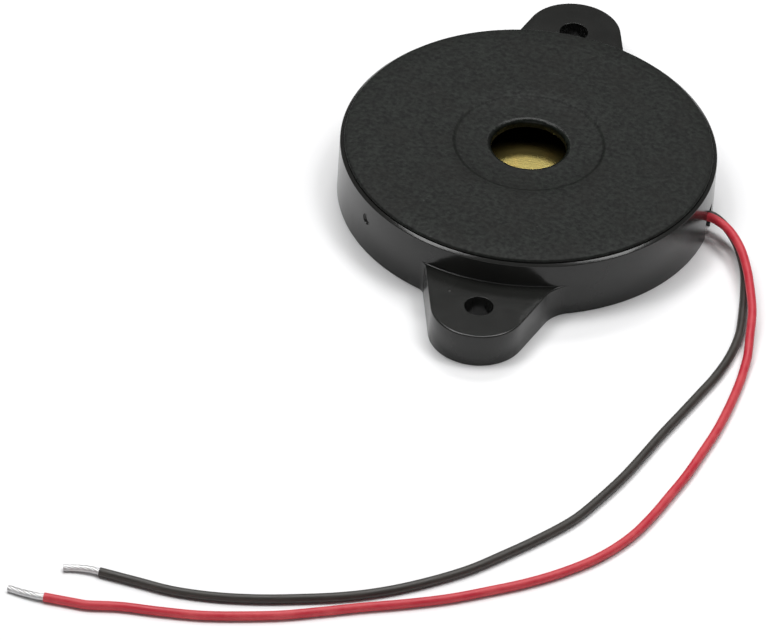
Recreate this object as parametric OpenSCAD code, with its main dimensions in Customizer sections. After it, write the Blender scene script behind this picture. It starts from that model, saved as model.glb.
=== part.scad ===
// Piezo buzzer: a flat round sounder with two mounting ears and a pair of free leads.
// Millimetres. The origin is the centre of the body's rear face, which lies on the floor.
// +Z is up, out of the sound hole. The ears lie along Y and the leads leave towards +X.

/* [Body] */
// Outer diameter of the round wall
body_d = 42; // [34:0.5:60]
// Height from the rear face to the shoulder that carries the front cover
shoulder_h = 7.0; // [5:0.1:12]
// Thickness of the round wall above the floor
wall_t = 1.6; // [1.2:0.1:3]
// Thickness of the rear floor
floor_t = 1.0; // [0.6:0.1:1.6]
// Width of the shoulder that shows around the front cover
shoulder_w = 0.45; // [0.4:0.05:1]
// Rounding of the shoulder's outer edge
shoulder_round = 0.4; // [0.1:0.05:0.4]

/* [Ears] */
// Distance from the round wall out to the middle of a mounting hole
hole_reach = 4.3; // [3.5:0.1:12]
// Diameter of a mounting hole
hole_d = 3.2; // [2:0.1:5]
// Radius of an ear's rounded end
ear_r = 5.4; // [4:0.1:8]
// Thickness of an ear
ear_t = 4.0; // [2:0.1:5]
// Angle at which an ear's sides spread towards the wall, in degrees
ear_spread = 17; // [0:1:27]
// Radius of the inside corner between an ear and the wall
ear_fillet = 4; // [1:0.25:6]

/* [Disc seat] */
// Clearance between the brass disc's edge and the round wall
disc_gap = 1.9; // [1.5:0.1:4]
// Width of the ring rib's top under the disc's edge
seat_w = 1.5; // [1.3:0.1:3]
// Width of the ring rib's top beyond the disc's edge
rib_margin = 0.9; // [0.4:0.1:1.4]
// Height of the ring rib's top above the rear face
rib_top = 3.5; // [3.3:0.1:5]

/* [Front cover] */
// Height the cover stands above the shoulder
cover_rise = 0.5; // [0.4:0.05:1.2]
// Thickness of the cover's middle
cover_t = 1.3; // [1.1:0.1:2.2]
// Clearance between the cover's spigot and the wall
spigot_gap = 0.1; // [0.02:0.02:0.3]
// Width of the edge band that falls away towards the rim
band_w = 2.25; // [1:0.25:4]
// Drop of the edge band at the rim
band_drop = 0.12; // [0:0.02:0.14]
// Rounding of the cover's rim
rim_round = 0.25; // [0.05:0.05:0.25]
// Distance of the clamping ring outward from the rib's inner edge
clamp_set = 0.2; // [0:0.05:0.3]
// Width of the clamping ring under the cover
clamp_w = 1.0; // [0.6:0.1:1.2]

/* [Sound hole] */
// Diameter of the sound hole
sound_d = 8.4; // [3:0.2:12]
// Rounding of the sound hole's front edge
sound_round = 0.5; // [0.1:0.05:0.8]
// Diameter of the shallow recess about the sound hole
recess_d = 16.4; // [12:0.2:26]
// Depth of the shallow recess
recess_h = 0.22; // [0.05:0.01:0.28]
// Width of the sloping step at the recess's edge
recess_slope = 0.15; // [0.05:0.05:0.5]

/* [Bender] */
// Thickness of the brass disc
brass_t = 0.2; // [0.1:0.05:0.5]
// Thickness of the adhesive under the brass edge
glue_t = 0.2; // [0.1:0.05:0.4]
// Distance the adhesive stops short of the rib's two edges
glue_inset = 0.15; // [0.05:0.05:0.3]
// Height of the adhesive on the brass disc's rim
bead_h = 0.15; // [0.05:0.05:0.2]
// Width of the bare brass ring between the rib and the ceramic disc
bare_w = 3.5; // [2.5:0.1:6]
// Thickness of the ceramic disc
ceramic_t = 0.25; // [0.1:0.05:0.5]
// Width of the bare ceramic ring around the electrode
ceramic_margin = 0.7; // [0.3:0.1:2]
// Thickness of the silvered electrode
silver_t = 0.04; // [0.02:0.01:0.1]

/* [Solder joints] */
// Foot radius of the solder joint on the electrode
red_joint_r = 1.9; // [1.4:0.1:2.5]
// Distance of that joint's middle inward from the electrode's edge
red_joint_in = 2.8; // [2.6:0.1:6]
// Clearance around the solder joint on the bare brass ring
joint_gap = 0.4; // [0.2:0.05:0.6]
// Direction of the joint on the brass about Z, in degrees
black_joint_angle = 23; // [15:1:60]
// Clearance between the solder joints and the floor
joint_floor_gap = 0.9; // [0.7:0.05:1]
// Height of a solder joint's rounded nose
joint_nose = 0.3; // [0.1:0.05:0.5]

/* [Lead slot] */
// Width of the slot in the wall
slot_w = 2.4; // [2:0.1:6]
// Height of the slot above the rear face
slot_h = 3.4; // [2:0.1:4.4]
// Offset of the slot's middle from the X axis
slot_y = -0.9; // [-5:0.1:5]

/* [Leads] */
// Outer diameter of a lead's insulation
lead_d = 1.0; // [0.8:0.05:1.6]
// Diameter of the bare wire
wire_d = 0.6; // [0.3:0.05:1]

/* [Wall mark] */
// Diameter of the small round mark on the wall
mark_d = 1.3; // [0.5:0.1:2.5]
// Depth of the small round mark
mark_h = 0.2; // [0.05:0.05:0.5]
// Height of the mark above the rear face
mark_z = 4.4; // [1.5:0.1:5]
// Direction of the mark about Z, in degrees
mark_angle = 224; // [200:1:240]

/* [Hidden] */

$fn = 96;
// Length by which a cut runs past the face it leaves
past = 1;

// Radii, from the outer wall inward
body_r = body_d / 2;
bore_r = body_r - wall_t;
cover_r = body_r - shoulder_w;
spigot_r = bore_r - spigot_gap;
brass_r = bore_r - disc_gap;
rib_out_r = brass_r + rib_margin;
rib_in_r = brass_r - seat_w;
trough_r = (rib_out_r + bore_r) / 2;
clamp_r = rib_in_r + clamp_set;
ceramic_r = rib_in_r - bare_w;
silver_r = ceramic_r - ceramic_margin;
recess_r = recess_d / 2;
sound_r = sound_d / 2;
lead_r = lead_d / 2;
wire_r = wire_d / 2;

// Heights above the rear face
top_z = shoulder_h + cover_rise;
cover_under = top_z - cover_t;
rim_z = top_z - band_drop - rim_round;
recess_z = top_z - recess_h;
brass_z = rib_top + glue_t;
brass_top = brass_z + brass_t;
ceramic_z = brass_z - ceramic_t;
silver_z = ceramic_z - silver_t;
joint_low = floor_t + joint_floor_gap;

// An arc as a list of points: middle, radius, first and last angle, number of steps.
function arc(cx, cy, r, a0, a1, n) = [for (i = [0:n])
    [cx + r * cos(a0 + (a1 - a0) * i / n), cy + r * sin(a0 + (a1 - a0) * i / n)]];

// An ear's side: direction, outward normal, ends of the straight run and the corner's middle.
ear_y = body_r + hole_reach;
ear_sink = 1;
ear_dir = [sin(ear_spread), -cos(ear_spread)];
ear_out = [cos(ear_spread), sin(ear_spread)];
// The side starts a little inside the rounded end, so that the two cross cleanly
side_sink = 0.02;
ear_top = [0, ear_y] + (ear_r - side_sink) * ear_out;
corner_top = ear_top + ear_fillet * ear_out;
corner_fall = corner_top * ear_dir;
ear_run = -corner_fall
    - sqrt(corner_fall * corner_fall - corner_top * corner_top + pow(body_r + ear_fillet, 2));
ear_low = ear_top + ear_run * ear_dir;
corner = corner_top + ear_run * ear_dir;
ear_foot = corner * body_r / (body_r + ear_fillet);

// Routes of the two leads, in millimetres, from the inner end to the outer end.
red_route = [[11.3, -1.45, 2.45], [13, -1.45, 2.45], [15.5, -1.45, 2.5], [18.5, -1.45, 2.6],
    [21.2, -1.5, 2.75], [22.5, -2.2, 2.8], [23.6, -3.1, 2.8], [25.4, -5.6, 2.65],
    [26.9, -9, 2.4], [27.9, -12.1, 2.1], [28.7, -15.1, 1.8], [29.2, -18.8, 1.3],
    [29.6, -22.5, 0.7], [29.5, -26.5, 0.5], [29.2, -30.5, 0.5], [28.7, -34.5, 0.5],
    [27.9, -38.6, 0.5], [27, -42.8, 0.5], [25.9, -46.7, 0.5], [24.8, -50.4, 0.5],
    [23.2, -54.5, 0.5], [20.8, -58.4, 0.5], [17.7, -61.8, 0.5], [14.1, -64.8, 0.5],
    [10.5, -67.2, 0.5], [6.6, -69.6, 0.5], [2.3, -71.7, 0.5], [-1.9, -73.5, 0.5],
    [-5.8, -75.3, 0.5], [-9.9, -77.1, 0.5], [-13.9, -78.4, 0.5], [-18.1, -79.5, 0.5],
    [-22.5, -80.1, 0.5], [-26.7, -80.5, 0.5], [-30.7, -81.3, 0.5], [-34.8, -81.3, 0.5]];
black_route = [[13.1, 3.8, 2.45], [13.1, 2.4, 2.45], [13.5, 1.1, 2.4], [14.6, 0.1, 2.35],
    [16.1, -0.3, 2.3], [18.5, -0.35, 2.2], [21.2, -0.4, 2.15], [22.3, -0.9, 1.95],
    [23.4, -1.8, 1.65], [24.6, -3.3, 1.3], [25.6, -5.3, 1], [26.4, -7.5, 0.75],
    [27, -10.4, 0.55], [27.6, -14.6, 0.5], [27.9, -18.2, 0.5], [27.6, -21.9, 0.5],
    [26.8, -25.6, 0.5], [25.6, -29.3, 0.5], [24.4, -32.9, 0.5], [23.1, -36.7, 0.5],
    [21.9, -40.6, 0.5], [20.5, -44.9, 0.5], [18.8, -49.1, 0.5], [16.8, -53.3, 0.5],
    [14, -57.2, 0.5], [10.8, -61, 0.5], [7.6, -64.5, 0.5], [3.6, -67.8, 0.5],
    [-0.3, -70.4, 0.5], [-4.3, -72.4, 0.5], [-8.7, -74, 0.5], [-13, -75.3, 0.5],
    [-17.5, -76.2, 0.5], [-21.9, -76.5, 0.5], [-26.1, -76.1, 0.5], [-30.1, -75.7, 0.5]];
red_tip_route = [[-34.8, -81.3, 0.5], [-35.7, -81.3, 0.5], [-37.2, -81.1, 0.42],
    [-38.8, -80.8, 0.35]];
black_tip_route = [[-30.1, -75.7, 0.5], [-31.1, -75.6, 0.5], [-32.6, -75.7, 0.42],
    [-34, -76, 0.35]];

// Middles of the two solder joints, and how far a wire's end passes them.
black_joint_r = bare_w / 2 - joint_gap;
red_joint = [silver_r - red_joint_in, red_route[0][1]];
black_joint = (ceramic_r + bare_w / 2) * [cos(black_joint_angle), sin(black_joint_angle)];
wire_set = 0.4;
red_in_route = [[red_joint[0] - wire_set, red_joint[1], red_route[0][2]], red_route[0]];
black_in_route = [[black_joint[0], black_joint[1] + wire_set, black_route[0][2]],
    [13.1, 4.2, 2.45], black_route[0]];

// A tube along a route: an eight-sided ring at every route point, flat sides up and down.
function unit(v) = v / norm(v);
function heading(p, i) = unit(p[min(i + 1, len(p) - 1)] - p[max(i - 1, 0)]);
function ring(c, t, r) = let (s = unit(cross([0, 0, 1], t)), u = cross(t, s))
    [for (k = [0:7]) c + r * (cos(22.5 + 45 * k) * s + sin(22.5 + 45 * k) * u)];
function ring_points(p, r) = [for (i = [0:len(p) - 1]) each ring(p[i], heading(p, i), r)];
function side_faces(n) = [for (i = [0:n - 2]) for (k = [0:7]) each
    [[8 * i + k, 8 * i + 8 + k, 8 * i + 8 + (k + 1) % 8],
    [8 * i + k, 8 * i + 8 + (k + 1) % 8, 8 * i + (k + 1) % 8]]];
function tube_faces(n) = concat([[for (k = [0:7]) k]], side_faces(n),
    [[for (k = [0:7]) 8 * n - 1 - k]]);

module tube(p, r) {
    polyhedron(points = ring_points(p, r), faces = tube_faces(len(p)), convexity = 10);
}

module ear() {
    difference() {
        union() {
            translate([0, ear_y, 0]) cylinder(r = ear_r, h = ear_t);
            linear_extrude(height = ear_t)
                polygon([ear_top, ear_low, ear_foot, [0, 0], [-ear_foot[0], ear_foot[1]],
                    [-ear_low[0], ear_low[1]], [-ear_top[0], ear_top[1]]]);
        }
        for (side = [-1, 1])
            translate([side * corner[0], corner[1], -past])
                cylinder(r = ear_fillet, h = ear_t + 2 * past);
        translate([0, ear_y, -past]) cylinder(d = hole_d, h = ear_t + 2 * past);
        // The root ends inside the wall
        translate([0, 0, -past]) cylinder(r = body_r - ear_sink, h = ear_t + 2 * past);
    }
}

module housing() {
    color([0.055, 0.055, 0.052])
    difference() {
        union() {
            rotate_extrude()
                polygon(concat([[0, 0], [body_r, 0]],
                    arc(body_r - shoulder_round, shoulder_h - shoulder_round,
                        shoulder_round, 0, 90, 5),
                    [[bore_r, shoulder_h], [bore_r, floor_t], [rib_out_r, floor_t],
                    [rib_out_r, rib_top], [rib_in_r, rib_top], [rib_in_r, floor_t],
                    [0, floor_t]]));
            ear();
            mirror([0, 1, 0]) ear();
        }
        // Slot through the wall, open at the rear
        translate([rib_out_r, slot_y - slot_w / 2, -past])
            cube([body_r - rib_out_r + past, slot_w, slot_h + past]);
        // Gap in the ring rib for the leads
        translate([rib_in_r - past, slot_y - slot_w / 2, floor_t])
            cube([trough_r - rib_in_r + past, slot_w, rib_top]);
        // Small round mark on the wall
        rotate([0, 0, mark_angle]) translate([body_r - mark_h, 0, mark_z])
            rotate([0, 90, 0]) cylinder(d = mark_d, h = mark_h + past);
    }
}

module front_cover() {
    color([0.075, 0.08, 0.075])
    rotate_extrude()
        polygon(concat([[sound_r, cover_under], [clamp_r, cover_under],
            [clamp_r, brass_top], [clamp_r + clamp_w, brass_top],
            [clamp_r + clamp_w, cover_under], [spigot_r, cover_under],
            [spigot_r, shoulder_h], [cover_r, shoulder_h]],
            arc(cover_r - rim_round, rim_z, rim_round, 0, 90, 4),
            [[cover_r - band_w, top_z], [recess_r + recess_slope, top_z],
            [recess_r, recess_z]],
            arc(sound_r + sound_round, recess_z - sound_round, sound_round, 90, 180, 6)));
}

module brass_disc() {
    color([0.80, 0.62, 0.28])
    translate([0, 0, brass_z]) cylinder(r = brass_r, h = brass_t);
}

module ceramic_disc() {
    color([0.85, 0.82, 0.74])
    translate([0, 0, ceramic_z]) cylinder(r = ceramic_r, h = ceramic_t);
}

module silver_electrode() {
    color([0.78, 0.78, 0.77])
    translate([0, 0, silver_z]) cylinder(r = silver_r, h = silver_t);
}

module adhesive_ring() {
    color([0.86, 0.86, 0.83])
    rotate_extrude()
        polygon([[rib_in_r + glue_inset, rib_top], [rib_out_r - glue_inset, rib_top],
            [brass_r, brass_z + bead_h], [brass_r, brass_z],
            [rib_in_r + glue_inset, brass_z]]);
}

// A mound of solder that hangs from a face and swallows the bare wire's end.
module solder(place, face_z, foot_r, wire_route) {
    color([0.72, 0.73, 0.74])
    difference() {
        translate([place[0], place[1], 0]) rotate_extrude()
            polygon([[0, joint_low], [foot_r / 2, joint_low + joint_nose],
                [foot_r, face_z], [0, face_z]]);
        tube(wire_route, wire_r);
    }
}

module red_solder() {
    solder(red_joint, silver_z, red_joint_r, red_in_route);
}

module black_solder() {
    solder(black_joint, brass_z, black_joint_r, black_in_route);
}

module red_lead() {
    color([0.80, 0.07, 0.13]) tube(red_route, lead_r);
}

module black_lead() {
    color([0.07, 0.065, 0.06]) tube(black_route, lead_r);
}

module red_inner_end() {
    color([0.78, 0.78, 0.76]) tube(red_in_route, wire_r);
}

module black_inner_end() {
    color([0.78, 0.78, 0.76]) tube(black_in_route, wire_r);
}

module red_tip() {
    color([0.78, 0.78, 0.76]) tube(red_tip_route, wire_r);
}

module black_tip() {
    color([0.78, 0.78, 0.76]) tube(black_tip_route, wire_r);
}

housing();
front_cover();
brass_disc();
ceramic_disc();
silver_electrode();
adhesive_ring();
red_solder();
black_solder();
red_lead();
black_lead();
red_inner_end();
black_inner_end();
red_tip();
black_tip();
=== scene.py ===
import math

import bmesh
import bpy
from bpy.props import FloatProperty, FloatVectorProperty, PointerProperty
from mathutils import Matrix, Vector


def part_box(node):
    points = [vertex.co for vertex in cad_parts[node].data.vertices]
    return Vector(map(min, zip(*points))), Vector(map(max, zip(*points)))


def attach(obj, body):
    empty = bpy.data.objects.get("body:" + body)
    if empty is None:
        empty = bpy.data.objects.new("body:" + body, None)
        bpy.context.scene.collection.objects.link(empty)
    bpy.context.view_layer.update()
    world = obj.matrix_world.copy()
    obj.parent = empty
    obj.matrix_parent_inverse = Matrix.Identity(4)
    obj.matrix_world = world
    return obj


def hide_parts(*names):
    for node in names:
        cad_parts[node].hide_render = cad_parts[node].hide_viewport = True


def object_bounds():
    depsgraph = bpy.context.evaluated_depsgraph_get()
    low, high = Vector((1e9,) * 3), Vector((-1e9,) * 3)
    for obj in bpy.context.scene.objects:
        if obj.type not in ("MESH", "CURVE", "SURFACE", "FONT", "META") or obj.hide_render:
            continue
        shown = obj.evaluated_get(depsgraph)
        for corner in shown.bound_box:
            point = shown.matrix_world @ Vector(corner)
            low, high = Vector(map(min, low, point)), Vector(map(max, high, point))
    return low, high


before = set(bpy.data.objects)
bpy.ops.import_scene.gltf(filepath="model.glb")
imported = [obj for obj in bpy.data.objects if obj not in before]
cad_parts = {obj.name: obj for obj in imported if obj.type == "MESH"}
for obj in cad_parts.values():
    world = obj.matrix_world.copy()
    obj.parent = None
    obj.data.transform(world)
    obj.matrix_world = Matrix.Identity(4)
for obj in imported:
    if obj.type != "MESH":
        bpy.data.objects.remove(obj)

bl_info = {
    "name": "Piezo Buzzer",
    "version": (1, 0, 0),
    "blender": (4, 5, 0),
    "location": "View3D > Sidebar > Buzzer",
    "description": "Dresses a round piezo buzzer with its ears, sound hole and two leads",
    "category": "Add Mesh",
}

BODY = "root"
MM = 0.001
CAD_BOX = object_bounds()

# Sizes that the solids give
WALL_R, EAR_TIP, SHOULDER_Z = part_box("housing")[1]
COVER_R, _, COVER_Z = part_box("front_cover")[1]
BRASS_R, _, BRASS_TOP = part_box("brass_disc")[1]
BRASS_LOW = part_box("brass_disc")[0][2]
RIB_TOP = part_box("adhesive_ring")[0][2]
GLUE_R, _, GLUE_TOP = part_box("adhesive_ring")[1]

# Housing: floor, the rib that seats the disc, and the bore about it
FLOOR_T = 1.0 * MM
RIB_OUT = BRASS_R + 0.9 * MM
RIB_IN = BRASS_R - 1.5 * MM
BORE_R = BRASS_R + 1.9 * MM

# Housing: roundings at the wall's foot and top and where an ear meets the wall
FOOT_R = 0.05 * MM
FOOT_CUT = 0.3
WALL_ROUND = 0.12 * MM
EAR_FILLET = 0.12 * MM
ROUND_STEPS = 5

# Housing: the shoulder's slope in degrees, and the seam between it and the cover
SHOULDER_SLOPE = 30
SEAM_W = 0.11 * MM
SEAM_DEPTH = 0.12 * MM
SEAM_CHIP = 0.02 * MM

# Housing: extra rows of points on flat faces, as places or shares, and a gap between rows
INNER_RING = 8 * MM
OUTER_RING = 16 * MM
EDGE_RING = WALL_R - 1 * MM
WALL_ROW = 5.4 * MM
WALL_SHARES = (0.35, 0.7)
FLAT_SHARES = (0.33, 0.67)
HAIR = 1e-7

# Housing: columns of points, in degrees, and how far they stay close beside an ear
FINE_TURN = 0.5
COARSE_TURN = 1.5
EAR_SPAN = 27

# Housing: reach of a cutter past a face, lead slot, gap in the rib, ear holes, and the
# round mark on the wall with its profile in millimetres
PAST = 1 * MM
SLOT_Y = -0.9 * MM
SLOT_W = 2.4 * MM
SLOT_TOP = 3.4 * MM
RIB_GAP_PAST = 0.5 * MM
RIB_GAP_TOP = 5.5 * MM
HOLE_FLARE = 0.03 * MM
MARK_TURN = 224
MARK_Z = 4.4 * MM
MARK_PROFILE = ((0, -0.2), (0.5, -0.2), (0.62, -0.12), (0.66, 0), (0.72, 1), (0, 1))

# Cover: plate, clamping ring, spigot, rounded rim and the band that falls towards it
COVER_T = 1.3 * MM
CLAMP_R = BRASS_R - 1.3 * MM
CLAMP_W = 1 * MM
SPIGOT_R = BRASS_R + 1.8 * MM
RIM_FOOT = 0.06 * MM
RIM_R = 0.25 * MM
BAND_W = 2.25 * MM
BAND_DROP = 0.12 * MM
HOLE_CHIP = 0.1 * MM

# Cover: extra rows of points on its flat faces, measured from band, recess and lip
BAND_ROW = 0.15 * MM
RECESS_ROW = 2 * MM
LIP_ROWS = (0.6 * MM, 0.1 * MM)

# Cover: slope into the recess, as millimetres past its edge and shares of its depth
RECESS_EASE = ((0.42, 0), (0.29, 0.12), (0.15, 0.5), (0.01, 0.88), (-0.12, 1))

# Bender: broken edge of the discs, and the bead: inside, and millimetres in and up outside
DISC_CHIP = 0.02 * MM
CHIP_SHARE = 0.3
BEAD_IN = BRASS_R - 1.35 * MM
BEAD_TUCK = 0.05 * MM
BEAD_BULGE = 0.03 * MM
BEAD_OUTSIDE = ((0, 0), (0.16, 0.1), (0.4, 0.21))

# Solder: radius of each foot in millimetres, and the mound as shares of foot and height
SOLDER_FEET = (("red_solder", 1.9), ("black_solder", 1.35))
MOUND = ((0, 0), (0.25, 0.02), (0.42, 0.1), (0.52, 0.28), (0.58, 0.5), (0.7, 0.75),
         (0.85, 0.92), (1, 0.99), (1, 1), (0, 1))

# Leads: spacing of the points on the insulation's route and on the bare ends' routes, and
# what the insulation's radius leaves for its waver
LEAD_STEP = 0.4 * MM
WIRE_STEP = 0.1 * MM
SLEEVE_SPARE = 0.005 * MM

# Two-tone finishes: light, dark, roughness from and to, spots per metre, metallic
FINISHES = {
    "ceramic": ((0.76, 0.72, 0.6), (0.66, 0.61, 0.5), 0.45, 0.6, 900, 0.0),
    "silver": ((0.82, 0.82, 0.8), (0.7, 0.7, 0.68), 0.3, 0.45, 2400, 1.0),
    "adhesive": ((0.8, 0.8, 0.75), (0.72, 0.71, 0.66), 0.35, 0.5, 700, 0.0),
    "tinned_wire": ((0.62, 0.62, 0.62), (0.5, 0.5, 0.5), 0.28, 0.42, 2600, 1.0),
    "solder": ((0.72, 0.73, 0.74), (0.6, 0.61, 0.62), 0.16, 0.3, 1600, 1.0),
}

# Other colours, and how much lighter the black insulation is where it is worn
HOUSING_DUST = (0.14, 0.135, 0.125)
COVER_DUST = (0.13, 0.125, 0.12)
BRASS_BRIGHT = (0.9, 0.74, 0.25)
BRASS_STAIN = (0.7, 0.5, 0.15)
RED_WORN = (0.6, 0.065, 0.075)
BLACK_WEAR = 1.5

# Grain: how much finer the fine grain is, and the weights of coarse and fine; dust: the
# value that a cell must pass to hold a speck, and the largest speck as a share of a cell;
# rubs: angle and stretch of each direction, their lean, and patches per metre
FINE_GRAIN = 2.6
GRAIN_WEIGHTS = (0.8, 0.2)
DUST_PICK = 0.965
SPECK_R = 0.20
RUBS = ((0.5, 14.0), (2.1, 11.0))
RUB_LEAN = 0.3
RUB_PATCHES = 140.0

# Lamps: name, azimuth and elevation in degrees, distance, width, height, radiance
LAMPS = (("left_box", 191, 65, 1.1, 0.32, 0.36, 8.0),
         ("right_box", 12, 65, 1.1, 0.32, 0.38, 7.8),
         ("back_box", 102, 55, 1.2, 0.42, 0.2, 12.5),
         ("top_box", 100, 78, 1.1, 0.9, 0.34, 6.7),
         ("front_box", 270, 12, 1.0, 1.1, 0.25, 1.5))
FLOOR_HALF = 1.5
FLOOR_Z = -0.00002

# Camera: turns in degrees, lens and sensor in millimetres, near and far clip, and its place
# along its own axes before the roll
CAMERA_AZIMUTH = 10.252
CAMERA_ELEVATION = 39.644
CAMERA_ROLL = 3.84
CAMERA_LENS = 468.75
CAMERA_SENSOR = 36.0
CAMERA_CLIP = (0.05, 20.0)
CAMERA_BACK = 1115.461 * MM
CAMERA_RIGHT = -14.756 * MM
CAMERA_UP = -15.026 * MM

# Routes of the leads and of their bare ends, in millimetres; a pair lies on the floor, with
# its middle this high
LYING_Z = 0.5
RED_ROUTE = (
    (11.3, -1.45, 2.45), (13, -1.45, 2.45), (15.5, -1.45, 2.5), (18.5, -1.45, 2.6),
    (21.2, -1.5, 2.75), (22.5, -2.2, 2.8), (23.6, -3.1, 2.8), (25.4, -5.6, 2.65),
    (26.9, -9, 2.4), (27.9, -12.1, 2.1), (28.7, -15.1, 1.8), (29.2, -18.8, 1.3),
    (29.6, -22.5, 0.7), (29.5, -26.5), (29.2, -30.5), (28.7, -34.5), (27.9, -38.6),
    (27, -42.8), (25.9, -46.7), (24.8, -50.4), (23.2, -54.5), (20.8, -58.4), (17.7, -61.8),
    (14.1, -64.8), (10.5, -67.2), (6.6, -69.6), (2.3, -71.7), (-1.9, -73.5), (-5.8, -75.3),
    (-9.9, -77.1), (-13.9, -78.4), (-18.1, -79.5), (-22.5, -80.1), (-26.7, -80.5),
    (-30.7, -81.3), (-34.8, -81.3))
BLACK_ROUTE = (
    (13.1, 3.8, 2.45), (13.1, 2.4, 2.45), (13.5, 1.1, 2.4), (14.6, 0.1, 2.35),
    (16.1, -0.3, 2.3), (18.5, -0.35, 2.2), (21.2, -0.4, 2.15), (22.3, -0.9, 1.95),
    (23.4, -1.8, 1.65), (24.6, -3.3, 1.3), (25.6, -5.3, 1), (26.4, -7.5, 0.75),
    (27, -10.4, 0.55), (27.6, -14.6), (27.9, -18.2), (27.6, -21.9), (26.8, -25.6),
    (25.6, -29.3), (24.4, -32.9), (23.1, -36.7), (21.9, -40.6), (20.5, -44.9),
    (18.8, -49.1), (16.8, -53.3), (14, -57.2), (10.8, -61), (7.6, -64.5), (3.6, -67.8),
    (-0.3, -70.4), (-4.3, -72.4), (-8.7, -74), (-13, -75.3), (-17.5, -76.2),
    (-21.9, -76.5), (-26.1, -76.1), (-30.1, -75.7))
RED_TIP = ((-34.8, -81.3), (-35.7, -81.3), (-37.2, -81.1, 0.42), (-38.8, -80.8, 0.35))
BLACK_TIP = ((-30.1, -75.7), (-31.1, -75.6), (-32.6, -75.7, 0.42), (-34, -76, 0.35))
RED_INNER = ((8.6, -1.45, 2.45), (11.3, -1.45, 2.45))
BLACK_INNER = ((13.1, 6, 2.45), (13.1, 4.2, 2.45), (13.1, 3.8, 2.45))

# Colour, routes of the insulation, the tip and the inner end, and the point at the slot
LEADS = (("red", RED_ROUTE, RED_TIP, RED_INNER, 4),
         ("black", BLACK_ROUTE, BLACK_TIP, BLACK_INNER, 6))


# ---- settings

def number(name, default, description, **kind):
    """A number that the panel shows."""
    return FloatProperty(name=name, description=description, default=default, **kind)


def length(name, default, description):
    """A size in metres that the panel shows."""
    return number(name, default, description, unit="LENGTH")


def tint(name, default, description):
    """A colour that the panel shows."""
    return FloatVectorProperty(name=name, description=description, default=default, size=3,
                               subtype="COLOR")


class BuzzerHousingSettings(bpy.types.PropertyGroup):
    """Sizes and finish of the glossy housing."""

    hole_pitch: length("Hole pitch", 0.0506, "Distance between the ear holes")
    hole_d: length("Hole diameter", 0.0032, "Diameter of an ear hole")
    ear_t: length("Ear thickness", 0.004, "Thickness of an ear")
    ear_spread: number("Ear spread", math.radians(17), "Angle of an ear's sides",
                       subtype="ANGLE")
    corner_r: length("Corner, lead side", 0.004, "Inside corner of an ear on the leads' side")
    far_corner_r: length("Corner, far side", 0.0012, "Inside corner of an ear on the other side")
    draft: length("Ear draft", 0.00006, "How far an ear's sides lean in")
    edge_r: length("Ear edge", 0.0002, "Rounding of an ear's top edge")
    color: tint("Colour", (0.0145, 0.0148, 0.0138), "Colour of the housing plastic")


class BuzzerCoverSettings(bpy.types.PropertyGroup):
    """Sizes and finish of the matt front cover."""

    sound_d: length("Sound hole", 0.0084, "Diameter of the sound hole")
    lip_r: length("Lip", 0.0005, "Rounding of the sound hole's front edge")
    recess_d: length("Recess", 0.0164, "Diameter of the shallow recess")
    recess_h: length("Recess depth", 0.00022, "Depth of the shallow recess")
    color: tint("Colour", (0.0050, 0.0066, 0.0050), "Colour of the cover plastic")


class BuzzerLeadSettings(bpy.types.PropertyGroup):
    """Sizes and colours of the two leads."""

    diameter: length("Insulation", 0.001, "Outer diameter of the insulation")
    wire_d: length("Wire", 0.00074, "Diameter of the tinned strands together")
    red: tint("Red", (0.5, 0.018, 0.036), "Colour of the red insulation")
    black: tint("Black", (0.028, 0.025, 0.021), "Colour of the black insulation")


class BuzzerStageSettings(bpy.types.PropertyGroup):
    """Floor and lamps."""

    floor: tint("Floor", (0.89, 0.89, 0.895), "Colour of the floor")
    sky: number("Sky", 0.1, "Strength of the even light all round")
    lamps: number("Lamps", 1.0, "Factor on the strength of the lamps")


# ---- node helpers

class Nodes:
    """A node tree with short calls for adding and linking nodes."""

    def __init__(self, tree):
        self.tree = tree

    def add(self, kind, values=None, **settings):
        """Adds a node, sets its properties, then its sockets."""
        node = self.tree.nodes.new(kind)
        for key, value in settings.items():
            setattr(node, key, value)
        return self.fill(node, values or {})

    def fill(self, node, values):
        """Sets or links a node's sockets by name or index."""
        for key, value in values.items():
            if isinstance(value, bpy.types.NodeSocket):
                self.tree.links.new(value, node.inputs[key])
            else:
                node.inputs[key].default_value = value
        return node

    def math(self, operation, a, b=0.0):
        """One Math node; a and b are sockets or numbers."""
        return self.add("ShaderNodeMath", {0: a, 1: b}, operation=operation).outputs[0]

    def place(self, kind="Object"):
        """Coordinates of the point that is shaded."""
        return self.add("ShaderNodeTexCoord").outputs[kind]

    def noise(self, where, scale, detail=2.0, roughness=0.5):
        """A noise texture's value."""
        return self.add("ShaderNodeTexNoise", {"Vector": where, "Scale": scale, "Detail": detail,
                                               "Roughness": roughness}).outputs["Fac"]

    def remap(self, value, low=0.0, high=1.0, to_low=0.0, to_high=1.0):
        """Maps one range of values to another, held at its ends."""
        return self.add("ShaderNodeMapRange", {0: value, 1: low, 2: high, 3: to_low,
                                               4: to_high}).outputs[0]

    def mix_color(self, factor, a, b):
        """Blends two colours, each a socket or three numbers, by a factor socket."""
        ends = [v if isinstance(v, bpy.types.NodeSocket) else (*v, 1.0) for v in (a, b)]
        return self.add("ShaderNodeMix", {0: factor, 6: ends[0], 7: ends[1]},
                        data_type="RGBA").outputs[2]

    def bump(self, height, distance, **below):
        """A Bump node's normal, for a relief of a given distance in metres."""
        return self.add("ShaderNodeBump", {"Height": height, "Distance": distance,
                                           **below}).outputs[0]

    def group(self, group, **values):
        """Places a shader group with its own values; names use _ for a space."""
        return self.add("ShaderNodeGroup", {label.replace("_", " "): value
                                            for label, value in values.items()},
                        node_tree=group)


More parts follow.
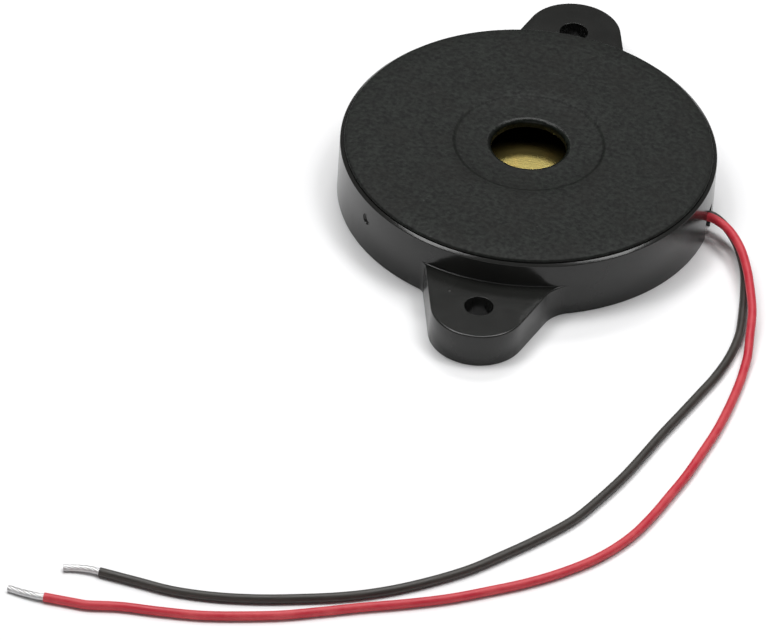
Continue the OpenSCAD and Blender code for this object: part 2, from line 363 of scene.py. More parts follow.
def new_group(name, kind, inputs, outputs):
    """A node group's helper and its group input; each socket has a default or a kind."""
    group = bpy.data.node_groups.new(name, kind)
    for way, sockets in (("INPUT", inputs), ("OUTPUT", outputs)):
        for label, value in sockets.items():
            socket = value if isinstance(value, str) else type(value).__name__.capitalize()
            item = group.interface.new_socket(label, in_out=way,
                                              socket_type=f"NodeSocket{socket}")
            if socket != value:
                item.default_value = value
    return Nodes(group), group.nodes.new("NodeGroupInput")


def end_group(n, *results):
    """Joins results to the outputs of a group and returns the group."""
    n.add("NodeGroupOutput", dict(enumerate(results)))
    return n.tree


def end_shape(n, source, skin):
    """Ends a geometry tree: real geometry with the material that the tree is given."""
    real = n.add("GeometryNodeRealizeInstances", {0: skin.outputs[0]})
    dressed = n.add("GeometryNodeSetMaterial", {"Geometry": real.outputs[0],
                                                "Material": source.outputs["Material"]})
    return end_group(n, dressed.outputs[0])


def shared(name, build):
    """The node group of this name, built the first time it is asked for."""
    return bpy.data.node_groups.get(name) or build(name)


def bake(obj, *spent):
    """Keeps an object's evaluated shape as a plain mesh and removes what made it."""
    view = bpy.context.evaluated_depsgraph_get()
    view.update()
    mesh = bpy.data.meshes.new_from_object(obj.evaluated_get(view), depsgraph=view)
    name = obj.name
    for old in (obj, *spent):
        bpy.data.objects.remove(old)
    return place_mesh(name, mesh)


def run_tree(obj, tree, **inputs):
    """Runs a geometry tree on an object and keeps the result as a plain mesh."""
    modifier = obj.modifiers.new("Shape", "NODES")
    modifier.node_group = tree
    sockets = {item.name: item.identifier for item in tree.interface.items_tree
               if item.item_type == "SOCKET" and item.in_out == "INPUT"}
    for label, value in inputs.items():
        modifier[sockets[label.replace("_", " ").capitalize()]] = value
    return bake(obj)


def place_object(name, data):
    """An object for a mesh, curve, lamp or camera, at the origin."""
    obj = bpy.data.objects.new(name, data)
    bpy.context.scene.collection.objects.link(obj)
    return obj


def place_mesh(name, mesh):
    """An object for a mesh that takes its name."""
    mesh.name = name
    return place_object(name, mesh)


def mesh_object(name, points, edges=(), faces=()):
    """An object from points, edges and faces."""
    mesh = bpy.data.meshes.new(name)
    mesh.from_pydata([tuple(p) for p in points], edges, faces)
    mesh.update()
    return place_mesh(name, mesh)


def smooth_by_angle(obj, degrees):
    """Smooth shading with creases kept sharp, and flat faces kept flat."""
    obj.data.shade_smooth()
    obj.data.set_sharp_from_angle(angle=math.radians(degrees))
    modifier = obj.modifiers.new("Flat faces", "WEIGHTED_NORMAL")
    modifier.keep_sharp = True
    modifier.weight = 80
    return bake(obj)


def clean_up(obj, gap=5e-8, merge=True):
    """Takes out doubles and faces of no size, and points every face outward."""
    work = bmesh.new()
    work.from_mesh(obj.data)
    if merge:
        bmesh.ops.remove_doubles(work, verts=work.verts, dist=gap)
    bmesh.ops.dissolve_degenerate(work, edges=work.edges, dist=gap)
    bmesh.ops.recalc_face_normals(work, faces=work.faces)
    work.to_mesh(obj.data)
    work.free()
    return obj


def dress(obj, material, slot, *nodes):
    """Gives a piece its material and body, and hides the solids it stands for; the slot argument
    is not used.
    """
    obj.data.materials.clear()
    obj.data.materials.append(material)
    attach(obj, BODY)
    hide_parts(*nodes)
    return obj


# ---- shader groups

def grain_group(name):
    """Fine spark-eroded grain with slow patches, as a mould leaves it."""
    n, source = new_group(
        name, "ShaderNodeTree", {"Grains per metre": 2000.0, "Patches per metre": 250.0},
        {"Height": "Float", "Patch": "Float"})
    where = n.place()
    coarse = n.noise(where, source.outputs[0], 2.0, 0.55)
    fine = n.noise(where, n.math("MULTIPLY", source.outputs[0], FINE_GRAIN), 1.0)
    both = n.math("ADD", n.math("MULTIPLY", coarse, GRAIN_WEIGHTS[0]),
                  n.math("MULTIPLY", fine, GRAIN_WEIGHTS[1]))
    return end_group(n, both, n.noise(where, source.outputs[1], 3.0, 0.6))


def dust_group(name):
    """Specks of dust that settle on faces that look up."""
    n, source = new_group(
        name, "ShaderNodeTree", {"Specks per metre": 1000.0, "Amount": 0.3},
        {"Mask": "Float"})
    cells = n.add("ShaderNodeTexVoronoi", {"Vector": n.place(), "Scale": source.outputs[0]})
    pick = n.add("ShaderNodeSeparateColor", {0: cells.outputs["Color"]})
    chosen = n.math("GREATER_THAN", pick.outputs[0], DUST_PICK)
    size = n.math("MULTIPLY", pick.outputs[1], SPECK_R)
    speck = n.remap(cells.outputs["Distance"], size, 0.0)
    normal = n.add("ShaderNodeNewGeometry").outputs["Normal"]
    up = n.add("ShaderNodeSeparateXYZ", {0: normal}).outputs[2]
    looks_up = n.math("MULTIPLY", n.remap(up, 0.3, 0.9), source.outputs[1])
    return end_group(n, n.math("MULTIPLY", n.math("MULTIPLY", chosen, speck), looks_up))


def rub_group(name):
    """Faint crossing scuffs from handling."""
    n, source = new_group(name, "ShaderNodeTree", {"Rubs per metre": 300.0},
                          {"Mask": "Float"})
    where = n.place()
    masks = []
    for angle, stretch in RUBS:
        turned = n.add("ShaderNodeMapping", {"Vector": where, "Rotation": (0, RUB_LEAN, angle),
                                             "Scale": (1, stretch, 1)})
        masks.append(n.remap(n.noise(turned.outputs[0], source.outputs[0]), 0.62, 0.72))
    rubbed = n.remap(n.noise(where, RUB_PATCHES), 0.45, 0.65)
    return end_group(n, n.math("MULTIPLY", n.math("MAXIMUM", *masks), rubbed))


def place_grain(n, grains, patches):
    """The moulded grain: its height and its slow patches."""
    return n.group(shared("Moulded grain", grain_group), Grains_per_metre=grains,
                   Patches_per_metre=patches).outputs


def place_dust(n, specks, amount):
    """The settled dust's mask."""
    return n.group(shared("Settled dust", dust_group), Specks_per_metre=specks,
                   Amount=amount).outputs[0]


# ---- materials

def new_material(name):
    """A material with a Principled shader; returns it, its helper and the shader."""
    material = bpy.data.materials.new(name)
    material.use_nodes = True
    material.node_tree.nodes.clear()
    n = Nodes(material.node_tree)
    shader = n.add("ShaderNodeBsdfPrincipled")
    n.add("ShaderNodeOutputMaterial", {0: shader.outputs[0]})
    return material, n, shader


def scaled(color, *factors):
    """A colour times one factor, or times one factor for each channel."""
    return tuple(c * k for c, k in zip(color, factors if len(factors) > 1 else factors * 3))


def housing_plastic(settings):
    """Glossy black moulding with slight flow ripple, rubs and dust."""
    material, n, shader = new_material("housing_plastic")
    grain = place_grain(n, grains=2200.0, patches=260.0)
    rubs = n.group(shared("Handling rubs", rub_group), Rubs_per_metre=300.0).outputs[0]
    dust = place_dust(n, specks=1100.0, amount=0.35)
    tone = n.mix_color(grain["Patch"], scaled(settings.color, 0.8),
                       scaled(settings.color, 1.25))
    rough = n.remap(grain["Patch"], to_low=0.145, to_high=0.215)
    rough = n.math("ADD", rough, n.math("MULTIPLY", rubs, 0.04))
    n.fill(shader, {"Base Color": n.mix_color(dust, tone, HOUSING_DUST),
                    "Roughness": n.math("ADD", rough, n.math("MULTIPLY", dust, 0.4)),
                    "Normal": n.bump(grain["Height"], 0.000006),
                    "IOR": 1.43})
    return material


def cover_plastic(settings):
    """Matt black moulding with an even fine grain, painted light on its raised points and
    painted shade in its pits, and a smoother lip at the sound hole.
    """
    material, n, shader = new_material("cover_plastic")
    grain = place_grain(n, grains=1900.0, patches=220.0)
    dust = place_dust(n, specks=1000.0, amount=0.3)
    # Painted light and shade of the grain: the colour is lighter where the grain stands up and
    # darker in its pits
    lifted = n.remap(grain["Height"], 0.36, 0.64)
    tone = n.mix_color(lifted, scaled(settings.color, 0.15), scaled(settings.color, 1.8))
    slow = n.remap(grain["Patch"], 0.45, 0.6, 0.0, 0.5)
    tone = n.mix_color(slow, tone, scaled(settings.color, 1.25, 0.95, 1.0))
    rough = n.remap(grain["Patch"], to_low=0.6, to_high=0.72)
    flat = n.add("ShaderNodeVectorMath", {0: n.place(), 1: (1, 1, 0)}, operation="MULTIPLY")
    from_axis = n.add("ShaderNodeVectorMath", {0: flat.outputs[0]}, operation="LENGTH")
    hole = settings.sound_d / 2
    lip = n.remap(from_axis.outputs["Value"], hole + 0.8 * settings.lip_r,
                  hole + 1.1 * settings.lip_r, 0.55, 1.0)
    rough = n.math("ADD", rough, n.math("MULTIPLY", lifted, -0.1))
    n.fill(shader, {"Base Color": n.mix_color(dust, tone, COVER_DUST),
                    "Roughness": n.math("MULTIPLY", rough, lip),
                    "Normal": n.bump(grain["Height"], 0.00007),
                    "Specular IOR Level": 0.24})
    return material


def brass_sheet():
    """Bright rolled brass with circular rub lines and faint tarnish."""
    material, n, shader = new_material("brass")
    where = n.place()
    parts = n.add("ShaderNodeSeparateXYZ", {0: where})
    radius = n.math("POWER", n.math("ADD", n.math("POWER", parts.outputs[0], 2.0),
                                    n.math("POWER", parts.outputs[1], 2.0)), 0.5)
    rings = n.noise(n.add("ShaderNodeCombineXYZ", {0: radius}).outputs[0], 9000.0)
    mask = n.remap(n.noise(where, 420.0, 4.0), 0.42, 0.7)
    rough = n.remap(rings, to_low=0.19, to_high=0.27)
    n.fill(shader, {"Base Color": n.mix_color(mask, BRASS_BRIGHT, BRASS_STAIN),
                    "Metallic": 1.0,
                    "Roughness": n.math("ADD", rough, n.math("MULTIPLY", mask, 0.03)),
                    "Normal": n.bump(rings, 0.000001)})
    return material


def speckled(name):
    """A plain finish with two tones, uneven gloss and a fine relief."""
    light, dark, smoothest, roughest, scale, metallic = FINISHES[name]
    material, n, shader = new_material(name)
    where = n.place()
    tone = n.noise(where, scale, 4.0)
    fine = n.noise(where, 6.0 * scale)
    n.fill(shader, {"Base Color": n.mix_color(tone, light, dark),
                    "Roughness": n.remap(fine, 0.3, 0.7, smoothest, roughest),
                    "Normal": n.bump(fine, 0.000004),
                    "Metallic": metallic})
    return material


def insulation(name, color, worn):
    """Extruded insulation: die lines along it, scuffs, and a satin skin."""
    material, n, shader = new_material(name)
    along = n.add("ShaderNodeMapping", {"Vector": n.place("UV"), "Scale": (1.5, 26.0, 1.0)})
    lines = n.noise(along.outputs[0], 1.0)
    where = n.place()
    blotch = n.noise(where, 330.0, 4.0, 0.65)
    pits = n.noise(where, 5200.0, 1.0)
    ridged = n.bump(lines, 0.000012)
    n.fill(shader, {"Base Color": n.mix_color(n.remap(blotch, 0.4, 0.72), color, worn),
                    "Roughness": n.remap(blotch, 0.3, 0.7, 0.42, 0.58),
                    "Normal": n.bump(pits, 0.000004, Normal=ridged),
                    "IOR": 1.5})
    return material


# ---- geometry trees

def lathe_tree(name):
    """Turns a line of profile points about Z into a closed skin."""
    n, source = new_group(
        name, "GeometryNodeTree",
        {"Profile": "Geometry", "Segments": 160, "Points": 10, "Weld": 0.000001,
         "Material": "Material"}, {"Skin": "Geometry"})
    segments, points = source.outputs["Segments"], source.outputs["Points"]
    grid = n.add("GeometryNodeMeshGrid",
                 {"Size X": 1.0, "Size Y": 1.0,
                  "Vertices X": n.math("ADD", segments, 1.0), "Vertices Y": points})
    index = n.add("GeometryNodeInputIndex").outputs[0]
    column = n.math("FLOOR", n.math("DIVIDE", n.math("ADD", index, 0.5), points))
    row = n.math("SUBTRACT", index, n.math("MULTIPLY", column, points))
    place = n.add("GeometryNodeSampleIndex", data_type="FLOAT_VECTOR", domain="POINT")
    n.fill(place, {"Geometry": source.outputs["Profile"], "Index": row,
                   "Value": n.add("GeometryNodeInputPosition").outputs[0]})
    turn = n.math("MULTIPLY", n.math("DIVIDE", column, segments), 2 * math.pi)
    turned = n.add("ShaderNodeVectorRotate", {"Vector": place.outputs[0], "Angle": turn},
                   rotation_type="Z_AXIS")
    moved = n.add("GeometryNodeSetPosition", {"Geometry": grid.outputs[0],
                                              "Position": turned.outputs[0]})
    welded = n.add("GeometryNodeMergeByDistance", {"Geometry": moved.outputs[0],
                                                   "Distance": source.outputs["Weld"]})
    return end_shape(n, source, welded)


def resampled(n, source):
    """The route of a tree with a point at each ring."""
    return n.add("GeometryNodeResampleCurve", {"Curve": source.outputs["Route"],
                                               "Length": source.outputs["Ring spacing"]},
                 mode="LENGTH")


def swept(n, curve, ring, radius):
    """A closed tube: a ring of radius 1 swept along a curve and scaled to a radius."""
    return n.add("GeometryNodeCurveToMesh", {"Curve": curve, "Profile Curve": ring,
                                             "Fill Caps": True, "Scale": radius})


def sleeve_tree(name):
    """Insulation along a route, with flat cut ends and its length and turn kept as UV."""
    n, source = new_group(
        name, "GeometryNodeTree",
        {"Route": "Geometry", "Diameter": 0.001, "Sides": 28, "Ring spacing": 0.00045,
         "Waver": 0.00001, "Material": "Material"}, {"Skin": "Geometry"})
    route = resampled(n, source)
    position = n.add("GeometryNodeInputPosition").outputs[0]
    swell = n.math("MULTIPLY", n.math("SUBTRACT", n.noise(position, 260.0, 1.0), 0.5),
                   source.outputs["Waver"])
    half = n.math("SUBTRACT", n.math("MULTIPLY", source.outputs["Diameter"], 0.5),
                  SLEEVE_SPARE)
    ring = n.add("GeometryNodeCurvePrimitiveCircle",
                 {"Resolution": source.outputs["Sides"], "Radius": 1.0})
    spline = n.add("GeometryNodeSplineParameter")
    kept = []
    for curve, label, measure in ((route, "Along", "Length"), (ring, "Around", "Factor")):
        item = n.add("GeometryNodeCaptureAttribute", {0: curve.outputs[0]})
        item.capture_items.new("FLOAT", label)
        n.fill(item, {1: spline.outputs[measure]})
        kept.append(item.outputs)
    tube = swept(n, kept[0][0], kept[1][0], n.math("ADD", half, swell))
    place = n.add("ShaderNodeCombineXYZ",
                  {0: n.math("DIVIDE", kept[0][1], source.outputs["Diameter"]),
                   1: kept[1][1]})
    mapped = n.add("GeometryNodeStoreNamedAttribute",
                   {"Geometry": tube.outputs[0], "Name": "UVMap",
                    "Value": place.outputs[0]},
                   data_type="FLOAT2", domain="CORNER")
    return end_shape(n, source, n.add("GeometryNodeSetShadeSmooth", {0: mapped.outputs[0]}))


def strands_tree(name):
    """Tinned strands twisted about a core along a route."""
    n, source = new_group(
        name, "GeometryNodeTree",
        {"Route": "Geometry", "Diameter": 0.00074, "Outer strands": 7,
         "Twist pitch": 0.005, "Ring spacing": 0.00012, "Strand share": 0.19,
         "Core share": 0.41, "Material": "Material"}, {"Skin": "Geometry"})
    route = resampled(n, source)
    strands, diameter = source.outputs["Outer strands"], source.outputs["Diameter"]
    copies = n.add("GeometryNodeDuplicateElements",
                   {"Geometry": route.outputs[0], "Amount": n.math("ADD", strands, 1.0)},
                   domain="SPLINE")
    number = copies.outputs["Duplicate Index"]
    turn = n.math("DIVIDE", n.math("MULTIPLY", number, 2 * math.pi), strands)
    run = n.add("GeometryNodeSplineParameter").outputs["Length"]
    twist = n.math("MULTIPLY", n.math("DIVIDE", run, source.outputs["Twist pitch"]),
                   2 * math.pi)
    spoke = n.add("ShaderNodeVectorRotate",
                  {"Vector": n.add("GeometryNodeInputNormal").outputs[0],
                   "Axis": n.add("GeometryNodeInputTangent").outputs[0],
                   "Angle": n.math("ADD", turn, twist)},
                  rotation_type="AXIS_ANGLE")
    outer = n.math("LESS_THAN", number, strands)
    strand_r = n.math("MULTIPLY", diameter, source.outputs["Strand share"])
    reach = n.math("SUBTRACT", n.math("MULTIPLY", diameter, 0.5), strand_r)
    offset = n.add("ShaderNodeVectorMath", {0: spoke.outputs[0],
                                            "Scale": n.math("MULTIPLY", reach, outer)},
                   operation="SCALE")
    moved = n.add("GeometryNodeSetPosition", {"Geometry": copies.outputs[0],
                                              "Offset": offset.outputs[0]})
    core = n.math("MULTIPLY", diameter, source.outputs["Core share"])
    radius = n.math("ADD", n.math("MULTIPLY", strand_r, outer),
                    n.math("MULTIPLY", core, n.math("SUBTRACT", 1.0, outer)))
    ring = n.add("GeometryNodeCurvePrimitiveCircle", {"Resolution": 12, "Radius": 1.0})
    tube = swept(n, moved.outputs[0], ring.outputs[0], radius)
    return end_shape(n, source, n.add("GeometryNodeSetShadeSmooth", {0: tube.outputs[0]}))


# ---- shapes

def curve_points(cx, cz, r, angles):
    """Points of a circle in a profile at the given angles in degrees."""
    return [(cx + r * math.cos(math.radians(a)), cz + r * math.sin(math.radians(a)))
            for a in angles]


def arc(cx, cz, r, start, end, steps):
    """Evenly spaced points of an arc in a profile; angles in degrees."""
    return curve_points(cx, cz, r, [start + (end - start) * k / steps
                                    for k in range(steps + 1)])


def lathe(name, profile, material, segments):
    """A turned piece from a profile of (radius, height) points."""
    line = mesh_object(name, [(r, 0, z) for r, z in profile],
                       [(k, k + 1) for k in range(len(profile) - 1)])
    obj = run_tree(line, shared("Lathe", lathe_tree), segments=segments,
                   points=len(profile), material=material)
    return smooth_by_angle(clean_up(obj, gap=1e-8, merge=False), degrees=32)


def blend(a, b, start, end, t):
    """The point between a and b that belongs to t between start and end."""
    return a * ((end - t) / (end - start)) + b * ((t - start) / (end - start))


def smooth_route(route, margin, step):
    """Points close together on one smooth curve through a route, a margin inside the box."""
    knots = [Vector((*p, LYING_Z)[:3]) * MM for p in route]
    ends = [2 * knots[0] - knots[1]] + knots + [2 * knots[-1] - knots[-2]]
    points = []
    for k in range(1, len(ends) - 2):
        a, b, c, d = ends[k - 1:k + 3]
        t0, t1 = 0.0, (b - a).length ** 0.5
        t2 = t1 + (c - b).length ** 0.5
        t3 = t2 + (d - c).length ** 0.5
        count = max(2, int((c - b).length / step))
        for i in range(count):
            t = t1 + (t2 - t1) * i / count
            first = blend(blend(a, b, t0, t1, t), blend(b, c, t1, t2, t), t0, t2, t)
            second = blend(blend(b, c, t1, t2, t), blend(c, d, t2, t3, t), t1, t3, t)
            points.append(blend(first, second, t1, t2, t))
    points.append(knots[-1])
    low, high = (Vector(map(float, corner)) for corner in CAD_BOX)
    for point in points:
        point.y = max(point.y, low.y + margin)
        point.z = max(point.z, low.z + margin)
        point.x = min(point.x, high.x - margin)
    return points


def route_curve(name, points):
    """A curve object of one open spline."""
    curve = bpy.data.curves.new(name, "CURVE")
    curve.dimensions = "3D"
    curve.twist_mode = "Z_UP"
    spline = curve.splines.new("POLY")
    spline.points.add(len(points) - 1)
    for knot, point in zip(spline.points, points):
        knot.co = (*point, 1.0)
    return place_object(name, curve)


class EarOutline:
    """The housing's outline with its ears, as a radius for each direction."""

    def __init__(self, s, corner_r, inset=0.0):
        self.y = s.hole_pitch / 2
        self.end_r = EAR_TIP - self.y - inset
        self.fillet = corner_r + inset
        self.out = Vector((math.cos(s.ear_spread), math.sin(s.ear_spread)))
        self.down = Vector((math.sin(s.ear_spread), -math.cos(s.ear_spread)))
        self.top = Vector((0, self.y)) + self.end_r * self.out
        above = self.top + self.fillet * self.out
        fall = above.dot(self.down)
        reach = WALL_R + self.fillet
        run = -fall - math.sqrt(fall * fall - above.dot(above) + reach * reach)
        self.low = self.top + run * self.down
        self.corner = above + run * self.down
        self.foot = self.corner * (WALL_R / reach)
        self.angles = [self.angle(p) for p in (self.top, self.low, self.foot)]

    @staticmethod
    def angle(p):
        """Angle of a point away from the ear's middle line."""
        return math.atan2(p.x, p.y)

    def radius(self, turn):
        """Distance of the outline from the centre, turn away from the ear's middle."""
        ray = Vector((math.sin(turn), math.cos(turn)))
        to_top, to_low, to_foot = self.angles
        if turn >= to_foot:
            return WALL_R
        if turn <= to_top:
            middle = Vector((0, self.y))
            b = ray.dot(middle)
            return b + math.sqrt(max(0.0, b * b - middle.dot(middle) + self.end_r ** 2))
        if turn <= to_low:
            return self.top.dot(self.out) / ray.dot(self.out)
        b = ray.dot(self.corner)
        return b - math.sqrt(max(0.0, b * b - self.corner.dot(self.corner)
                                 + self.fillet ** 2))


def housing_columns():
    """Directions of the housing's columns of points, closer together at the ears."""
    turns = []
    degree = 0.0
    while degree < 360.0 - 1e-6:
        turns.append(math.radians(degree))
        off = min(abs(degree - 90), abs(degree - 270))
        degree += FINE_TURN if off < EAR_SPAN else COARSE_TURN
    return turns


def lower_profile(s, low_r, high_r):
    """Profile from the underside up the outline and over the ear to the wall."""
    squeeze = min(1.0, max(0.0, high_r - WALL_R) / (s.edge_r + EAR_FILLET))
    edge, corner = s.edge_r * squeeze, EAR_FILLET * squeeze
    wall_top, flat_end = s.ear_t - s.edge_r, high_r - edge
    quarter = [math.pi / 2 * k / ROUND_STEPS for k in range(ROUND_STEPS + 1)]
    line = [(r, 0) for r in (INNER_RING, OUTER_RING, EDGE_RING, low_r - FOOT_R)]
    line += [(low_r - FOOT_CUT * FOOT_R, FOOT_CUT * FOOT_R), (low_r, FOOT_R)]
    line += [(low_r + (high_r - low_r) * t, FOOT_R + (wall_top - FOOT_R) * t)
             for t in WALL_SHARES]
    line += [(high_r - edge * (1 - math.cos(a)), wall_top + s.edge_r * math.sin(a))
             for a in quarter]
    line += [(flat_end + (WALL_R + corner - flat_end) * t, s.ear_t + HAIR * t)
             for t in FLAT_SHARES]
    line += [(WALL_R + corner * (1 - math.sin(a)),
              s.ear_t + 2 * HAIR + EAR_FILLET * (1 - math.cos(a))) for a in quarter]
    return line


def upper_profile():
    """Profile from the bare wall over the sloped shoulder and down inside to the floor."""
    slope = math.tan(math.radians(SHOULDER_SLOPE))
    slope_end = COVER_R + SEAM_W
    slope_low = SHOULDER_Z - (WALL_R - 0.5 * WALL_ROUND - slope_end) * slope
    turn = 90 - SHOULDER_SLOPE
    line = [(WALL_R, WALL_ROW)]
    line += arc(WALL_R - WALL_ROUND, slope_low - WALL_ROUND * math.sin(math.radians(turn)),
                WALL_ROUND, 0, turn, 4)
    line += [(slope_end + SEAM_CHIP, SHOULDER_Z - SEAM_CHIP * slope), (slope_end, SHOULDER_Z),
             (slope_end, SHOULDER_Z - SEAM_DEPTH),
             (COVER_R - SEAM_CHIP, SHOULDER_Z - SEAM_DEPTH),
             (COVER_R - 2 * SEAM_CHIP, SHOULDER_Z), (BORE_R, SHOULDER_Z), (BORE_R, FLOOR_T),
             (RIB_OUT, FLOOR_T), (RIB_OUT, RIB_TOP), (RIB_IN, RIB_TOP), (RIB_IN, FLOOR_T),
             (INNER_RING, FLOOR_T)]
    return line


def ring_faces(columns, rows):
    """Faces between neighbouring columns of points, all the way round."""
    return [(c * rows + k, d * rows + k, d * rows + k + 1, c * rows + k + 1)
            for c, d in ring_pairs(columns) for k in range(rows - 1)]


def ring_pairs(count):
    """Each number with the next one, all the way round."""
    return [(c, (c + 1) % count) for c in range(count)]


def housing_skin(s):
    """The closed skin of the housing before its holes are cut."""
    sides = [(EarOutline(s, corner_r), EarOutline(s, corner_r, s.draft))
             for corner_r in (s.corner_r, s.far_corner_r)]
    upper = upper_profile()
    points, columns = [], housing_columns()
    for direction in columns:
        turn = min(abs(direction - math.pi / 2), abs(direction - 3 * math.pi / 2))
        low, high = sides[math.cos(direction) < 0]
        line = lower_profile(s, low.radius(turn), high.radius(turn)) + upper
        points += [(r * math.cos(direction), r * math.sin(direction), z) for r, z in line]
    rows = len(line)
    faces = ring_faces(len(columns), rows)
    bottom, top = len(points), len(points) + 1
    points += [(0, 0, 0), (0, 0, FLOOR_T)]
    for c, d in ring_pairs(len(columns)):
        faces.append((bottom, d * rows, c * rows))
        faces.append((top, c * rows + rows - 1, d * rows + rows - 1))
    return clean_up(mesh_object("housing_skin", points, faces=faces))


def cutter_lathe(name, profile, place, axis=None, segments=64):
    """A turned cutter set at a place, along Z or along another axis."""
    turns = [2 * math.pi * c / segments for c in range(segments)]
    points = [Vector((r * math.cos(a), r * math.sin(a), z)) for a in turns
              for r, z in profile]
    if axis:
        turn = Vector(axis).to_track_quat("Z", "Y").to_matrix()
        points = [turn @ p for p in points]
    points = [p + Vector(place) for p in points]
    return clean_up(mesh_object(name, points, faces=ring_faces(segments, len(profile))))


def box_cutter(name, low, high):
    """A plain box cutter between two corners."""
    points = [(x, y, z) for x in (low[0], high[0]) for y in (low[1], high[1])
              for z in (low[2], high[2])]
    faces = [(0, 1, 3, 2), (4, 6, 7, 5), (0, 4, 5, 1), (2, 3, 7, 6), (0, 2, 6, 4),
             (1, 5, 7, 3)]
    return clean_up(mesh_object(name, points, faces=faces))


def cut(obj, cutters):
    """Cuts solids out of a piece, one after another."""
    for cutter in cutters:
        modifier = obj.modifiers.new("Cut", "BOOLEAN")
        modifier.operation = "DIFFERENCE"
        modifier.solver = "EXACT"
        modifier.object = cutter
    return bake(obj, *cutters)


# ---- operators

def aim(azimuth, elevation):
    """Direction towards an azimuth and elevation, in degrees."""
    a, e = math.radians(azimuth), math.radians(elevation)
    return Vector((math.cos(a) * math.cos(e), math.sin(a) * math.cos(e), math.sin(e)))


def set_up(name, data, place, turn):
    """A lamp or camera at a place, turned by a matrix."""
    obj = place_object(name, data)
    obj.matrix_world = Matrix.Translation(place) @ turn.to_4x4()
    return obj


class BUZZER_OT_stage(bpy.types.Operator):
    """Add the floor, the lamps and the camera"""

    bl_idname = "buzzer.stage"
    bl_label = "Stage"

    def execute(self, context):
        s = context.scene.buzzer_stage
        material, n, shader = new_material("stage_floor")
        n.fill(shader, {"Base Color": (*s.floor, 1), "Roughness": 0.9,
                        "Specular IOR Level": 0.1})
        corners = [(x * FLOOR_HALF, y * FLOOR_HALF, FLOOR_Z)
                   for x, y in ((-1, -1), (1, -1), (1, 1), (-1, 1))]
        floor = mesh_object("floor", corners, faces=[(0, 1, 2, 3)])
        floor.data.materials.append(material)
        world = bpy.data.worlds.new("Studio")
        world.use_nodes = True
        n.fill(world.node_tree.nodes["Background"], {0: (1, 1, 1, 1), 1: s.sky})
        context.scene.world = world
        for name, azimuth, elevation, distance, width, height, radiance in LAMPS:
            lamp = bpy.data.lights.new(name, "AREA")
            lamp.shape = "RECTANGLE"
            lamp.size, lamp.size_y = width, height
            lamp.energy = radiance * math.pi * width * height * s.lamps
            at = aim(azimuth, elevation)
            set_up(name, lamp, at * distance, at.to_track_quat("Z", "Y").to_matrix())
        # The camera looks down from a little to the right, slightly tilted
        azimuth, roll = math.radians(CAMERA_AZIMUTH), math.radians(CAMERA_ROLL)
        back = aim(CAMERA_AZIMUTH - 90, CAMERA_ELEVATION)
        right = Vector((math.cos(azimuth), math.sin(azimuth), 0))
        up = back.cross(right)
        tilted = right * math.cos(roll) + up * math.sin(roll)
        upright = up * math.cos(roll) - right * math.sin(roll)
        data = bpy.data.cameras.new("camera")
        data.sensor_width = CAMERA_SENSOR
        data.lens = CAMERA_LENS
        data.clip_start, data.clip_end = CAMERA_CLIP
        place = back * CAMERA_BACK + right * CAMERA_RIGHT + up * CAMERA_UP
        context.scene.camera = set_up("camera", data, place,
                                      Matrix((tilted, upright, back)).transposed())
        context.scene.view_settings.view_transform = "Standard"
        return {"FINISHED"}


class BUZZER_OT_housing(bpy.types.Operator):
    """Build the glossy housing with its ears, lead slot and disc seat"""

    bl_idname = "buzzer.housing"
    bl_label = "Housing"

    def execute(self, context):
        s = context.scene.buzzer_housing
        skin = housing_skin(s)
        wide, top = s.hole_d / 2 + HOLE_FLARE, s.ear_t
        hole = [(0, -PAST), (wide, -PAST), (wide, 0)]
        hole += curve_points(wide, HOLE_FLARE, HOLE_FLARE, (250, 230, 210, 190, 180))
        hole += curve_points(wide, top - HOLE_FLARE, HOLE_FLARE, (180, 160, 140, 120, 100, 90))
        hole += [(wide, top + PAST), (0, top + PAST)]
        cutters = [cutter_lathe(f"hole_{k}", hole, (0, y, 0))
                   for k, y in enumerate((s.hole_pitch / 2, -s.hole_pitch / 2))]
        near, far = SLOT_Y - SLOT_W / 2, SLOT_Y + SLOT_W / 2
        cutters.append(box_cutter("slot_cut", (RIB_OUT, near, -PAST),
                                  (WALL_R + PAST, far, SLOT_TOP)))
        cutters.append(box_cutter("rib_cut", (RIB_IN - PAST, near, FLOOR_T),
                                  (RIB_OUT + RIB_GAP_PAST, far, RIB_GAP_TOP)))
        out = aim(MARK_TURN, 0)
        mark = [(r * MM, z * MM) for r, z in MARK_PROFILE]
        cutters.append(cutter_lathe("mark_cut", mark, out * WALL_R + Vector((0, 0, MARK_Z)),
                                    out, segments=40))
        obj = cut(skin, cutters)
        obj.name = "housing_shell"
        dress(smooth_by_angle(obj, degrees=30), housing_plastic(s), "housing_plastic",
              "housing")
        return {"FINISHED"}


